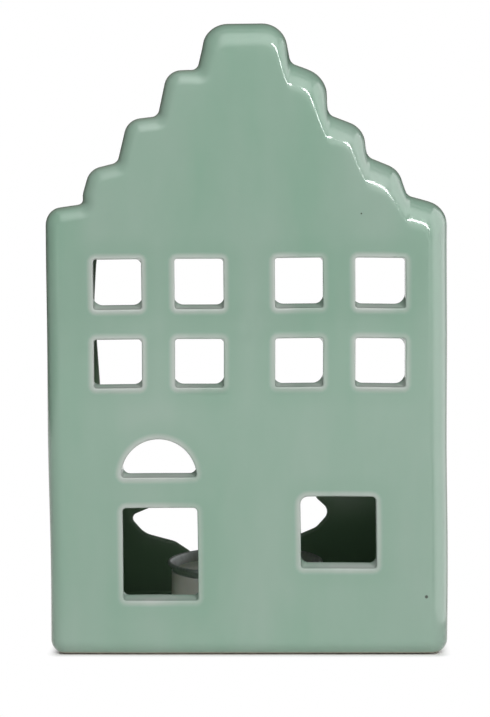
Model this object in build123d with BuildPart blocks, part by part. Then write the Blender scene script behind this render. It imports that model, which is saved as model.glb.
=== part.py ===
from build123d import *

import os
from math import cos, radians, sin

# Tealight house: a hollow glazed stoneware town house with a stepped gable.
# It is built from flat clay slabs luted edge to edge: a front and a back slab cut to the
# same outline, and between them a belt of floor, side walls, stepped strips and crest.
# A tealight in its foil cup stands on the floor and lifts out through the hole in the back.
# Millimetres, +Z up, front facing -Y, origin on the table under the middle of the house.

# Overall sizes
house_width = 95.5
house_depth = 60.0
house_height = 150.0
slab_thickness = 5.0
base_corner_radius = 3.4

# The stepped gable from the shoulder up to the crest. Each row is the inner end (foot) of
# a tread and then the corner at the top of the riser that starts there, as x and z.
# The clay sagged a little, so treads fall outwards, and more so on the right.
left_shoulder = (-house_width / 2, 106.0)
left_steps = [
    ((-38.7, 107.3), (-36.4, 115.4)),
    ((-29.8, 117.0), (-27.4, 127.0)),
    ((-20.2, 127.8), (-17.8, 138.4)),
    ((-10.7, 138.7), (-9.0, house_height)),
]
right_shoulder = (house_width / 2, 106.6)
right_steps = [
    ((38.3, 109.5), (36.0, 116.1)),
    ((28.7, 119.0), (27.4, 125.9)),
    ((19.3, 129.0), (18.8, 137.5)),
    ((10.5, 140.7), (8.8, house_height)),
]
left_corner_radii = [3.2, 2.7, 2.7, 2.7, 4.2]
right_corner_radii = [5.5, 3.2, 3.6, 2.8, 4.0]
foot_radius = 1.7

# Rounding of the front slab's outer edge, and easing of the back slab's and of the cut edges
front_edge_round = 2.5
back_edge_ease = 1.4
rim_ease = 0.8

# Sash windows: two rows of four, in two pairs
window_columns = [-30.8, -11.5, 12.3, 31.6]
window_rows = [88.6, 69.8]
window_width = 11.6
window_height = 11.6
window_corner = 1.3

# Fanlight over the door, door, and ground floor window
fanlight_center = -21.2
fanlight_sill = 42.8
fanlight_radius = 8.9
fanlight_corner = 1.2
door_center = -21.2
door_width = 18.0
door_sill = 13.4
door_height = 22.0
shop_window_center = 21.5
shop_window_width = 18.0
shop_window_sill = 20.8
shop_window_height = 17.4
ground_floor_corner = 1.3

# Hole in the back, cut by hand: straight sides and top, and a wavy lower edge that draws in
# to a neck and then bulges round the place of the tealight. Each row is x, z and rounding.
back_hole_outline = [
    (-41.4, 99.5, 8.0),
    (-41.4, 37.4, 7.0),
    (-25.4, 28.0, 2.2),
    (-33.6, 23.9, 1.4),
    (-28.0, 19.6, 4.0),
    (-21.0, 17.7, 4.0),
    (-14.0, 12.0, 4.0),
    (-6.0, 8.6, 8.0),
    (8.0, 15.6, 6.0),
    (17.2, 21.6, 4.0),
    (20.0, 25.8, 2.5),
    (14.6, 30.6, 2.2),
    (24.0, 35.0, 8.0),
    (41.4, 41.0, 7.0),
    (41.4, 99.5, 8.0),
]

# Tealight: pressed foil cup with a rolled rim, wax, cotton wick and its tin foot
tealight_x = -1.5
cup_radius = 19.0
cup_height = 13.2
cup_wall = 0.4
cup_bead_radius = 0.55
cup_bead_sides = 8
cup_base_ease = 0.25
wax_height = 10.4
wax_gap = 0.05
wick_radius = 0.75
wick_length = 16.5
fit_gap = 0.03
foot_disc_radius = 6.2
foot_disc_thickness = 0.3
foot_collar_radius = 1.3
foot_collar_height = 3.2

# Way out of the tealight: up and back, past the rim of the hole
lift_angle = 58.0
lift_run = 53.0

# Heights of the seams between the slabs of the belt
wall_foot = slab_thickness
wall_top = 101.0
strip_top = house_height - slab_thickness

os.makedirs("parts", exist_ok=True)


def outline_corners():
    """Corners of the house seen from the front, from the lower left round to the lower right."""
    left = [left_shoulder]
    for foot, corner in left_steps:
        left += [foot, corner]
    right = [right_shoulder]
    for foot, corner in right_steps:
        right += [foot, corner]
    return [(-house_width / 2, 0)] + left + right[::-1] + [(house_width / 2, 0)]


def outline_radii():
    """Rounding of each corner of the outline, in the same order."""
    left = [left_corner_radii[0]]
    for radius in left_corner_radii[1:]:
        left += [foot_radius, radius]
    right = [right_corner_radii[0]]
    for radius in right_corner_radii[1:]:
        right += [foot_radius, radius]
    return [base_corner_radius] + left + right[::-1] + [base_corner_radius]


def inset(corners, distance):
    """Corners moved inwards so that each side shifts by the distance. Corners run clockwise."""
    moved = []
    for before, corner, after in zip(corners[-1:] + corners[:-1], corners, corners[1:] + corners[:1]):
        arriving = (Vector(*corner) - Vector(*before)).normalized()
        leaving = (Vector(*after) - Vector(*corner)).normalized()
        inwards = Vector(arriving.Y, -arriving.X) + Vector(leaving.Y, -leaving.X)
        moved.append(Vector(*corner) + inwards * (distance / (1 + arriving.dot(leaving))))
    return moved


# Front view of the whole house
with BuildSketch() as house_outline:
    with BuildLine():
        FilletPolyline(outline_corners(), radius=outline_radii(), close=True)
    make_face()

# The same view one slab further in: the space inside the belt
with BuildSketch() as inner_outline:
    with BuildLine():
        Polyline(inset(outline_corners(), slab_thickness), close=True)
    make_face()

# Everything cut out of the front slab
with BuildSketch() as front_openings:
    window_places = [(x, z) for z in window_rows for x in window_columns]
    with Locations(*window_places):
        RectangleRounded(window_width, window_height, window_corner)
    with Locations((door_center, door_sill + door_height / 2)):
        RectangleRounded(door_width, door_height, ground_floor_corner)
    with Locations((shop_window_center, shop_window_sill + shop_window_height / 2)):
        RectangleRounded(shop_window_width, shop_window_height, ground_floor_corner)

with BuildSketch() as fanlight:
    with Locations((fanlight_center, fanlight_sill)):
        Circle(fanlight_radius)
        Rectangle(
            2 * fanlight_radius,
            fanlight_radius,
            align=(Align.CENTER, Align.MAX),
            mode=Mode.SUBTRACT,
        )
    fillet(fanlight.vertices(), fanlight_corner)

# The hole in the back slab
with BuildSketch() as back_hole:
    with BuildLine():
        FilletPolyline(
            [(x, z) for x, z, rounding in back_hole_outline],
            radius=[rounding for x, z, rounding in back_hole_outline],
            close=True,
        )
    make_face()

# Front slab with its windows and door
with BuildPart() as facade:
    with BuildSketch(Plane.XZ.offset(house_depth / 2 - slab_thickness)):
        add(house_outline.sketch)
        add(front_openings.sketch, mode=Mode.SUBTRACT)
        add(fanlight.sketch, mode=Mode.SUBTRACT)
    extrude(amount=slab_thickness)
    fillet(facade.faces().sort_by(Axis.Y)[0].outer_wire().edges(), front_edge_round)
    front_rims = facade.faces().sort_by(Axis.Y)[0].inner_wires()
    chamfer([edge for rim in front_rims for edge in rim.edges()], rim_ease)
facade.part.label = "facade"
export_step(facade.part, "parts/facade.step")

# Back slab with the hole for the tealight
with BuildPart() as back_wall:
    with BuildSketch(Plane.XZ.offset(-house_depth / 2)):
        add(house_outline.sketch)
        add(back_hole.sketch, mode=Mode.SUBTRACT)
    extrude(amount=slab_thickness)
    chamfer(back_wall.faces().sort_by(Axis.Y)[-1].outer_wire().edges(), back_edge_ease)
    chamfer(back_wall.faces().sort_by(Axis.Y)[-1].inner_wires()[0].edges(), rim_ease)
back_wall.part.label = "back_wall"
export_step(back_wall.part, "parts/back_wall.step")

# Slabs of the belt, each the part of the ring between two heights and on one side
half_width = house_width / 2
belt_slabs = {
    "floor_slab": (-half_width, half_width, 0, wall_foot),
    "left_side_wall": (-half_width, 0, wall_foot, wall_top),
    "right_side_wall": (0, half_width, wall_foot, wall_top),
    "left_step_strip": (-half_width, 0, wall_top, strip_top),
    "right_step_strip": (0, half_width, wall_top, strip_top),
    "crest_slab": (-half_width, half_width, strip_top, house_height),
}
belt_parts = {}
for slab_name, (left_end, right_end, bottom, top) in belt_slabs.items():
    with BuildPart() as belt_slab:
        with BuildSketch(Plane.XZ.offset(slab_thickness - house_depth / 2)):
            add(house_outline.sketch)
            add(inner_outline.sketch, mode=Mode.SUBTRACT)
            with Locations(((left_end + right_end) / 2, (bottom + top) / 2)):
                Rectangle(right_end - left_end, top - bottom, mode=Mode.INTERSECT)
        extrude(amount=house_depth - 2 * slab_thickness)
    belt_slab.part.label = slab_name
    export_step(belt_slab.part, f"parts/{slab_name}.step")
    belt_parts[slab_name] = belt_slab.part

# Section plane through the tealight, with its height measured from the floor of the house
tealight_section = Plane(origin=(tealight_x, 0, slab_thickness), x_dir=(1, 0, 0), z_dir=(0, -1, 0))
tealight_axis = Axis((tealight_x, 0, slab_thickness), (0, 0, 1))

# Pressed foil cup
with BuildPart() as tealight_cup:
    with BuildSketch(tealight_section):
        Rectangle(cup_radius, cup_height - cup_bead_radius, align=(Align.MIN, Align.MIN))
        with Locations((0, cup_wall)):
            Rectangle(
                cup_radius - cup_wall,
                cup_height,
                align=(Align.MIN, Align.MIN),
                mode=Mode.SUBTRACT,
            )
        with Locations((cup_radius, cup_height - cup_bead_radius)):
            RegularPolygon(
                cup_bead_radius,
                cup_bead_sides,
                major_radius=False,
                rotation=180 / cup_bead_sides,
            )
    revolve(axis=tealight_axis)
    bottom_face = tealight_cup.faces().sort_by(Axis.Z)[0]
    chamfer(bottom_face.outer_wire().edges(), cup_base_ease)
tealight_cup.part.label = "tealight_cup"
export_step(tealight_cup.part, "parts/tealight_cup.step")

# Wax, with room for the wick and for its foot underneath
wax_radius = cup_radius - cup_wall - wax_gap
with BuildPart() as tealight_wax:
    with BuildSketch(tealight_section):
        with Locations((0, cup_wall)):
            Rectangle(wax_radius, wax_height, align=(Align.MIN, Align.MIN))
            Rectangle(
                foot_disc_radius + fit_gap,
                foot_disc_thickness + fit_gap,
                align=(Align.MIN, Align.MIN),
                mode=Mode.SUBTRACT,
            )
            Rectangle(
                foot_collar_radius + fit_gap,
                foot_disc_thickness + foot_collar_height + fit_gap,
                align=(Align.MIN, Align.MIN),
                mode=Mode.SUBTRACT,
            )
            Rectangle(
                wick_radius + fit_gap,
                wax_height,
                align=(Align.MIN, Align.MIN),
                mode=Mode.SUBTRACT,
            )
    revolve(axis=tealight_axis)
tealight_wax.part.label = "tealight_wax"
export_step(tealight_wax.part, "parts/tealight_wax.step")

# Tin foot that holds the wick upright: a disc with a crimped collar
with BuildPart() as wick_foot:
    with BuildSketch(tealight_section):
        with Locations((0, cup_wall)):
            Rectangle(foot_disc_radius, foot_disc_thickness, align=(Align.MIN, Align.MIN))
            Rectangle(
                foot_collar_radius,
                foot_disc_thickness + foot_collar_height,
                align=(Align.MIN, Align.MIN),
            )
        with Locations((0, cup_wall + foot_disc_thickness)):
            Rectangle(
                wick_radius + fit_gap,
                foot_collar_height,
                align=(Align.MIN, Align.MIN),
                mode=Mode.SUBTRACT,
            )
    revolve(axis=tealight_axis)
wick_foot.part.label = "wick_foot"
export_step(wick_foot.part, "parts/wick_foot.step")

# Cotton wick
with BuildPart() as wick:
    wick_bottom = slab_thickness + cup_wall + foot_disc_thickness
    with BuildSketch(Plane.XY.offset(wick_bottom)):
        with Locations((tealight_x, 0)):
            Circle(wick_radius)
    extrude(amount=wick_length)
wick.part.label = "wick"
export_step(wick.part, "parts/wick.step")

# Where the tealight stands once it is clear of the house
lift_direction = (0.0, cos(radians(lift_angle)), sin(radians(lift_angle)))
lift_travel = lift_run / cos(radians(lift_angle))
print("lift direction", [round(value, 6) for value in lift_direction])
print("lift travel", round(lift_travel, 2), "mm")
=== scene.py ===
"""Looks of the tealight house: one glazed shell over its slabs, and the tealight that stands in it.

Sizes are in millimetres and become metres where a mesh is made. +Z is up, the front faces -Y.
"""

import logging
import math
from collections.abc import Callable
from dataclasses import dataclass
from enum import Enum

import bpy
import numpy as np
from mathutils import Matrix, Vector
from mathutils.geometry import delaunay_2d_cdt


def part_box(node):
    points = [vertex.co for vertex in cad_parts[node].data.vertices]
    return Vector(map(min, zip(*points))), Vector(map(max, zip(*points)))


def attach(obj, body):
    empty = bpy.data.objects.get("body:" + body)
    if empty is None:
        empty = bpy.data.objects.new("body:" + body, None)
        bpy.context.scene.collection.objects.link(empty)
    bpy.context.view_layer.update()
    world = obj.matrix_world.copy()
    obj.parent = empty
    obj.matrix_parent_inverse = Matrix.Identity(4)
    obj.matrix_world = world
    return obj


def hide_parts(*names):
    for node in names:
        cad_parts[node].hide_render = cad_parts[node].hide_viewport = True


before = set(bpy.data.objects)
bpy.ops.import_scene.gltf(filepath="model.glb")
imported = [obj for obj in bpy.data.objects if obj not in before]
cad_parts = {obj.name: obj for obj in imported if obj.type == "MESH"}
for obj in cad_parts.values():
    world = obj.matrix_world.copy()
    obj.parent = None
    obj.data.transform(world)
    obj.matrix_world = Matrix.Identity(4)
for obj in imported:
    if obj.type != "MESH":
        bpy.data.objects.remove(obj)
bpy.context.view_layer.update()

log = logging.getLogger("tealight_house")
Pair = tuple[float, float]
Triple = tuple[float, float, float]
Four = tuple[float, float, float, float]
Array = np.ndarray
Mesh = bpy.types.Mesh
Material = bpy.types.Material
Socket = bpy.types.NodeSocket

MM = 0.001
WHITE = (1.0, 1.0, 1.0, 1.0)
SMOOTH = "SMOOTHSTEP"

# Longest stretch of a straight line between two points
LINE_STEP = 1.6
# Rim or edge distance of a surface that has no rim or edge near it
FAR = 99.0
# Points that are measured at a time, which keeps the memory small
PART = 400

# Sizes that the glazed shell shares with the solids
HALF_WIDTH = 47.75
HALF_DEPTH = 30.0
WALL = 5.0
GABLE = [
    (-HALF_WIDTH, 106.0), (-38.7, 107.3), (-36.4, 115.4), (-29.8, 117.0), (-27.4, 127.0),
    (-20.2, 127.8), (-17.8, 138.4), (-10.7, 138.7), (-9.0, 150.0),
    (8.8, 150.0), (10.5, 140.7), (18.8, 137.5), (19.3, 129.0), (27.4, 125.9),
    (28.7, 119.0), (36.0, 116.1), (38.3, 109.5), (HALF_WIDTH, 106.6),
]


class Skin(Enum):
    """Which part of the skin a swept surface is: the clay fills the belt, and surrounds the rest."""

    BELT = "belt"
    REVEAL = "reveal"
    HOLE = "hole"
    ROOM = "room"


class Facing(Enum):
    """Which way a flat face looks."""

    FRONT = "front"
    BACK = "back"


def linear(hex_colour: str) -> Four:
    """Turns an sRGB hex colour into the linear colour that a shader socket takes.

    Args:
        hex_colour: six hex digits after a hash sign.

    Returns:
        Red, green, blue and an alpha of 1.
    """
    parts = [int(hex_colour[i:i + 2], 16) / 255 for i in (1, 3, 5)]
    red, green, blue = [p / 12.92 if p <= 0.04045 else ((p + 0.055) / 1.055) ** 2.4 for p in parts]
    return red, green, blue, 1.0


def smooth_ramp(low: float, high: float, value: Array) -> Array:
    """Returns a share that goes from 0 at low to 1 at high as 3 t squared less 2 t cubed."""
    t = np.clip((value - low) / (high - low), 0, 1)
    return t * t * (3 - 2 * t)


def between(first: Array, second: Array, share: Array) -> Array:
    """Returns the first at share 0 and the second at share 1, with a straight line between."""
    return first * (1 - share) + second * share


def band(level: Array, ends: Pair, above: Pair, below: Pair) -> Array:
    """Rises over a stretch above the lower end and falls over one below the upper end.

    Args:
        level: where the share is wanted.
        ends: the lower and the upper end.
        above: how far above the lower end the rise starts and stops.
        below: how far below the upper end the fall stops and starts.

    Returns:
        The share for each level, from 0 to 1.
    """
    low, high = ends
    return (smooth_ramp(low + above[0], low + above[1], level)
            * smooth_ramp(high - below[0], high - below[1], level))


def angles(columns: int) -> Array:
    """Returns the evenly spaced angles of one full turn."""
    return 2 * math.pi * np.arange(columns) / columns


@dataclass(frozen=True)
class Loop:
    """A closed line in the front view, counter-clockwise, with its outward normals."""

    points: Array
    normals: Array

    def offset(self, distance: float) -> Array:
        """Returns the points moved outwards by the distance."""
        return self.points + self.normals * distance


@dataclass(frozen=True)
class Opening:
    """A hole through a slab: its outline at the outer face and at the inner one."""

    outer: Loop
    inner: Loop


def join_arcs(arcs: list[tuple[Array, Array]], steps: float | list[int]) -> Loop:
    """Closes a row of arcs with straight lines between them.

    Args:
        arcs: points and outward normals of each arc, in order.
        steps: longest stretch of a straight line between two points, or the pieces of each
            line, where two loops have to match point for point.

    Returns:
        The closed line.
    """
    points, normals = [], []
    for at, ((here, turned), (following, _)) in enumerate(zip(arcs, arcs[1:] + arcs[:1])):
        gap = np.linalg.norm(following[0] - here[-1])
        touching = gap < 1e-6
        points.append(here[:-1] if touching else here)
        normals.append(turned[:-1] if touching else turned)
        if touching:
            continue
        pieces = math.ceil(gap / steps) if isinstance(steps, float) else steps[at]
        share = np.linspace(0, 1, pieces + 1)[1:-1, None]
        points.append(between(here[-1], following[0], share))
        normals.append(np.repeat(turned[-1:], len(share), axis=0))
    return Loop(np.vstack(points), np.vstack(normals))


def turns_at(corner: Array) -> tuple[Array, Array, Array]:
    """Follows a polygon round its corners.

    Args:
        corner: x and z of each corner.

    Returns:
        The directions that arrive at each corner and leave it, and its turn in radians.
    """
    arriving = corner - np.roll(corner, 1, axis=0)
    arriving /= np.linalg.norm(arriving, axis=1, keepdims=True)
    leaving = np.roll(arriving, -1, axis=0)
    cross = arriving[:, :1] * leaving[:, 1:] - arriving[:, 1:] * leaving[:, :1]
    return arriving, leaving, np.arctan2(cross, (arriving * leaving).sum(1, keepdims=True))


def rounded_loop(corners: list, radii: list, steps: float | list[int] = LINE_STEP,
                 arc_steps: int = 10) -> Loop:
    """Rounds the corners of a counter-clockwise polygon with arcs that touch both sides.

    An arc starts its radius times the tangent of half the turn before the corner. Its points
    are the centre plus the radius along a normal that turns evenly from one side to the next.

    Args:
        corners: x and z of each corner.
        radii: rounding of each corner.
        steps: longest stretch of a straight line, or the pieces of each line.
        arc_steps: pieces per arc.

    Returns:
        The closed line.
    """
    corner = np.array(corners, float)
    radius = np.array(radii, float)[:, None]
    arriving, _, turn = turns_at(corner)
    outward = np.hstack([arriving[:, 1:], -arriving[:, :1]])
    bend = np.sign(turn)
    centre = corner - arriving * radius * np.tan(abs(turn) / 2) - outward * radius * bend
    angle = turn * np.linspace(0, 1, arc_steps + 1)
    cosine, sine = np.cos(angle), np.sin(angle)
    normal = np.stack([
        outward[:, :1] * cosine - outward[:, 1:] * sine,
        outward[:, :1] * sine + outward[:, 1:] * cosine,
    ], axis=-1)
    arc = centre[:, None] + (radius * bend)[:, None] * normal
    return join_arcs(list(zip(arc, normal)), steps)


def rectangle(left: float, right: float, bottom: float, top: float, radii: Four) -> Loop:
    """Returns a rectangle with rounded corners, from the lower left one round."""
    corners = [(left, bottom), (right, bottom), (right, top), (left, top)]
    return rounded_loop(corners, radii, [14] * 4)


def half_round_loop(middle: float, sill: float, radius: float, corner: float) -> Loop:
    """A half disc with rounded lower corners.

    Each lower corner is an arc that touches the sill and, from inside, the big arc, so its
    centre lies a corner radius above the sill and the difference of the radii from the middle.

    Args:
        middle: x of the middle.
        sill: z of the straight lower side.
        radius: radius of the half disc.
        corner: rounding of the lower corners.

    Returns:
        The closed line.
    """
    reach = math.sqrt((radius - corner) ** 2 - corner ** 2)
    meet = math.atan2(corner, reach)
    origin = np.array([middle, sill])

    def arc(centre: tuple, size: float, start: float, end: float, steps: int) -> tuple:
        """Takes evenly spaced angles of one arc.

        Args:
            centre: its middle, seen from the middle of the sill.
            size: its radius.
            start: its first angle.
            end: its last angle.
            steps: number of stretches.

        Returns:
            Its points and normals.
        """
        angle = np.linspace(start, end, steps + 1)
        normal = np.stack([np.cos(angle), np.sin(angle)], axis=-1)
        return origin + np.array(centre) + size * normal, normal

    return join_arcs([
        arc((reach, corner), corner, -math.pi / 2, meet, 8),
        arc((0, 0), radius, meet, math.pi - meet, 48),
        arc((-reach, corner), corner, math.pi - meet, 1.5 * math.pi, 8),
    ], [12] * 3)


def distance_to(points: Array, loop: Array) -> Array:
    """Shortest distance from each point to a closed line.

    For every segment the nearest point is the start plus the clipped share of the segment.

    Args:
        points: n points in the plane.
        loop: points of the closed line.

    Returns:
        n distances.
    """
    step = np.roll(loop, -1, axis=0) - loop
    length = np.maximum((step ** 2).sum(1), 1e-12)
    found = []
    for part in np.array_split(points, max(1, len(points) // PART)):
        from_start = part[:, None] - loop
        share = np.clip((from_start * step).sum(2) / length, 0, 1)
        found.append(np.sqrt(((from_start - share[..., None] * step) ** 2).sum(2).min(1)))
    return np.concatenate(found)


def is_inside(points: Array, loop: Array) -> Array:
    """Tells which points a closed line encloses, by counting the sides above each of them.

    Args:
        points: n points in the plane.
        loop: points of the closed line.

    Returns:
        n true or false values.
    """
    x1, z1 = loop.T
    x2, z2 = np.roll(loop, -1, axis=0).T
    run = np.where(x2 == x1, 1.0, x2 - x1)
    found = []
    for part in np.array_split(points, max(1, len(points) // PART)):
        x, z = part[:, :1], part[:, 1:]
        spans = (x1 > x) != (x2 > x)
        found.append((spans & (z < z1 + (z2 - z1) * (x - x1) / run)).sum(1) % 2 == 1)
    return np.concatenate(found)


@dataclass(frozen=True)
class Profile:
    """A line from front to back that is carried round a loop, or from one loop to another.

    It has the offset from the loop, the depth, and the distance from the crest of the rim.
    """

    offset: Array
    depth: Array
    crest: Array

    def shares(self) -> Array:
        """Returns how far each point has gone from the first loop to the second, by its depth."""
        wall = np.flatnonzero(abs(self.offset) < 1e-9)
        return smooth_ramp(self.depth[wall[0]], self.depth[wall[-1]], self.depth)


def section(front: float, back: float, rounds: Pair, way: int, steps: tuple[int, int, int]) -> Array:
    """Draws the line from one flat face to another: rounding, straight wall, rounding.

    Across a rounding the angle goes from 0 at the face to 90 degrees at the wall. The offset is
    the radius times 1 minus its sine, and the depth is the radius times 1 minus its cosine,
    counted from the face.

    Args:
        front: y of the front face.
        back: y of the back face.
        rounds: rounding at the front and at the back.
        way: 1 where the faces lie outside the loop, and -1 where they lie inside it.
        steps: pieces of the front rounding, the wall and the back rounding.

    Returns:
        A row of offsets and a row of depths.
    """
    def rounding(face: float, radius: float, start: float, end: float, count: int) -> Array:
        """Returns offset and depth across one rounding, whose radius is minus at the back."""
        angle = np.radians(np.linspace(start, end, count + 1))
        return np.stack([way * abs(radius) * (1 - np.sin(angle)), face + radius * (1 - np.cos(angle))])

    wall = np.linspace(front + rounds[0], back - rounds[1], steps[1] + 1)[1:-1]
    return np.hstack([rounding(front, rounds[0], 0, 90, steps[0]), [np.zeros(len(wall)), wall],
                      rounding(back, -rounds[1], 90, 0, steps[2])])


def ring_quads(index: Array) -> Array:
    """Returns the quads between rows of points, where each row closes round."""
    ahead = np.roll(index, -1, axis=1)
    return np.stack([index[:-1], ahead[:-1], ahead[1:], index[1:]], axis=-1).reshape(-1, 4)


def new_mesh(name: str, points: Array, faces: list, marks: dict[str, Array]) -> Mesh:
    """Makes a smooth mesh.

    Args:
        name: name of the mesh.
        points: n points in mm.
        faces: numbers of each face's points.
        marks: names of attributes, with a value for each point.

    Returns:
        The mesh in metres.
    """
    mesh = bpy.data.meshes.new(name)
    mesh.from_pydata((points * MM).tolist(), [], faces)
    for label, values in marks.items():
        mesh.attributes.new(label, "FLOAT", "POINT").data.foreach_set("value", values.astype(np.float32))
    mesh.polygons.foreach_set("use_smooth", np.ones(len(mesh.polygons), bool))
    mesh.update()
    return mesh


def new_object(name: str, data: bpy.types.ID) -> bpy.types.Object:
    """Links a new object into the scene.

    Args:
        name: name of the object.
        data: its mesh, lamp or camera.

    Returns:
        The object.
    """
    made = bpy.data.objects.new(name, data)
    bpy.context.scene.collection.objects.link(made)
    return made


def place(mesh: Mesh, material: Material, body: str, nodes: list[str]) -> None:
    """Puts a finished piece into the scene, on its body, in place of its solids.

    Args:
        mesh: the mesh, already in place.
        material: its material.
        body: body that it rides on.
        nodes: solids that it stands for.
    """
    mesh.materials.append(material)
    piece = new_object(mesh.name, mesh)
    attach(piece, body)
    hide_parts(*nodes)
    log.info("%s: %d faces on %s", piece.name, len(mesh.polygons), body)


class Shell:
    """Collects rings and flat faces and joins them into one closed mesh.

    Each point has three marks: its distance from the nearest rim of an opening and from the
    nearest outer edge, and whether it is on the walls of the room.
    """

    def __init__(self) -> None:
        """Starts with no points and no faces."""
        self.points: list[Array] = []
        self.marks: list[Array] = []
        self.triangles: list[Array] = []
        self.quads: list[Array] = []
        self.count = 0

    def add(self, points: Array, rim: Array | float, edge: Array | float, inside: bool) -> int:
        """Adds points with their marks.

        Args:
            points: n points in mm.
            rim: distance from the nearest rim, one or n values.
            edge: distance from the nearest outer edge, one or n values.
            inside: whether they are on the walls of the room.

        Returns:
            Index of the first of them.
        """
        first = self.count
        self.points.append(points)
        self.marks.append(np.stack(np.broadcast_arrays(rim, edge, float(inside)), axis=-1))
        self.count += len(points)
        return first

    def sweep(self, loop: Loop, profile: Profile, skin: Skin, far_loop: Loop | None = None) -> None:
        """Carries a profile round a loop.

        A point is the loop's point plus its normal times the offset, at the profile's depth.

        Args:
            loop: the closed line.
            profile: the line from front to back.
            skin: the part of the skin.
            far_loop: the line at the back end, where it isn't the same one.
        """
        far_loop = far_loop or loop
        share = profile.shares()[:, None, None]
        line = between(loop.points, far_loop.points, share)
        normal = between(loop.normals, far_loop.normals, share)
        plane = line + normal * profile.offset[:, None, None]
        self.grid(plane, profile.depth[:, None], profile.crest[:, None], skin)

    def grid(self, plane: Array, depth: Array, crest: Array, skin: Skin) -> None:
        """Adds rows of points that close round, with a quad between each four of them.

        Args:
            plane: x and z for each row and column.
            depth: y for each row, and for each column too or all of them, growing with the rows.
            crest: distance from the nearest rim or outer edge, given in the same way.
            skin: the part of the skin.
        """
        x, y, z = np.broadcast_arrays(plane[..., 0], depth, plane[..., 1])
        crest = np.broadcast_to(crest, x.shape).ravel()
        rim, edge = (crest, FAR) if skin in (Skin.REVEAL, Skin.HOLE) else (FAR, crest)
        points = np.stack([x, y, z], axis=-1).reshape(-1, 3)
        first = self.add(points, rim, edge, skin in (Skin.HOLE, Skin.ROOM))
        quads = ring_quads(first + np.arange(x.size).reshape(x.shape))
        self.quads.append(quads[:, [0, 3, 2, 1]] if skin is Skin.BELT else quads)

    def fill(self, outer: Array, holes: list[Array], depth: float, facing: Facing,
             spacing: float, margins: Pair, inside: bool = False) -> None:
        """Fills the face between an outer line and its holes with even triangles.

        Points lie on a lattice of equal triangles, kept over half a step clear of every line.

        Args:
            outer: outer line.
            holes: lines of the holes.
            depth: y of the face.
            facing: the way the face looks.
            spacing: step of the lattice.
            margins: way along the surface from the outer line to the crest of the outer edge,
                and from the holes' lines to the crest of their rims.
            inside: whether it is a wall of the room.
        """
        low, high = outer.min(0), outer.max(0)
        rows = np.arange(low[1], high[1], spacing * math.sqrt(0.75))
        columns = np.arange(low[0], high[0] + spacing, spacing)
        x, z = np.meshgrid(columns, rows)
        x = x + (np.arange(len(rows)) % 2)[:, None] * spacing / 2
        lattice = np.stack([x, z], axis=-1).reshape(-1, 2)
        loops, gap = [outer, *holes], spacing * 0.55
        clear = is_inside(lattice, outer)
        for hole in holes:
            clear &= ~is_inside(lattice, hole)
        sides, start = [], 0
        for loop in loops:
            clear &= distance_to(lattice, loop) > gap
            index = start + np.arange(len(loop))
            sides.append(np.stack([index, np.roll(index, -1)], axis=-1))
            start += len(loop)
        flat = np.vstack([*loops, lattice[clear]])
        # Output type 1 keeps every triangle within the outer line, also those in the holes
        found = delaunay_2d_cdt([Vector(p) for p in flat], np.vstack(sides).tolist(), [], 1, 1e-7)
        flat = flat[[met[0] for met in found[3]]]
        triangles = np.array(found[2], int)
        middle = flat[triangles].mean(1)
        kept = np.ones(len(triangles), bool)
        for hole in holes:
            kept &= ~is_inside(middle, hole)
        triangles = triangles[kept]
        if facing is Facing.BACK:
            triangles = triangles[:, ::-1]
        edge = distance_to(flat, outer) + margins[0]
        rim = np.min([distance_to(flat, hole) for hole in holes], axis=0) + margins[1]
        self.triangles.append(self.add(np.insert(flat, 1, depth, axis=1), rim, edge, inside) + triangles)

    def mesh(self, name: str, move: Callable[[Array], Array]) -> Mesh:
        """Joins points that meet to a thousandth of a millimetre, moves the whole and makes the mesh.

        Where points meet, the least distances and the share of the surface added last are kept.

        Args:
            name: name of the mesh.
            move: takes and returns an n by 3 array of points in mm.

        Returns:
            The mesh in metres, with the attributes rim_distance, edge_distance and inside_share.
        """
        points, marks = np.vstack(self.points), np.vstack(self.marks)
        _, first, index = np.unique(np.round(points, 3), axis=0, return_index=True, return_inverse=True)
        index = index.ravel()
        nearest = np.full((len(first), 2), FAR)
        np.minimum.at(nearest, index, marks[:, :2])
        last_inside = np.zeros(len(first))
        last_inside[index] = marks[:, 2]
        faces = index[np.vstack(self.quads)].tolist() + index[np.vstack(self.triangles)].tolist()
        return new_mesh(name, move(points[first]), faces, {
            "rim_distance": nearest[:, 0], "edge_distance": nearest[:, 1], "inside_share": last_inside})


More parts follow.
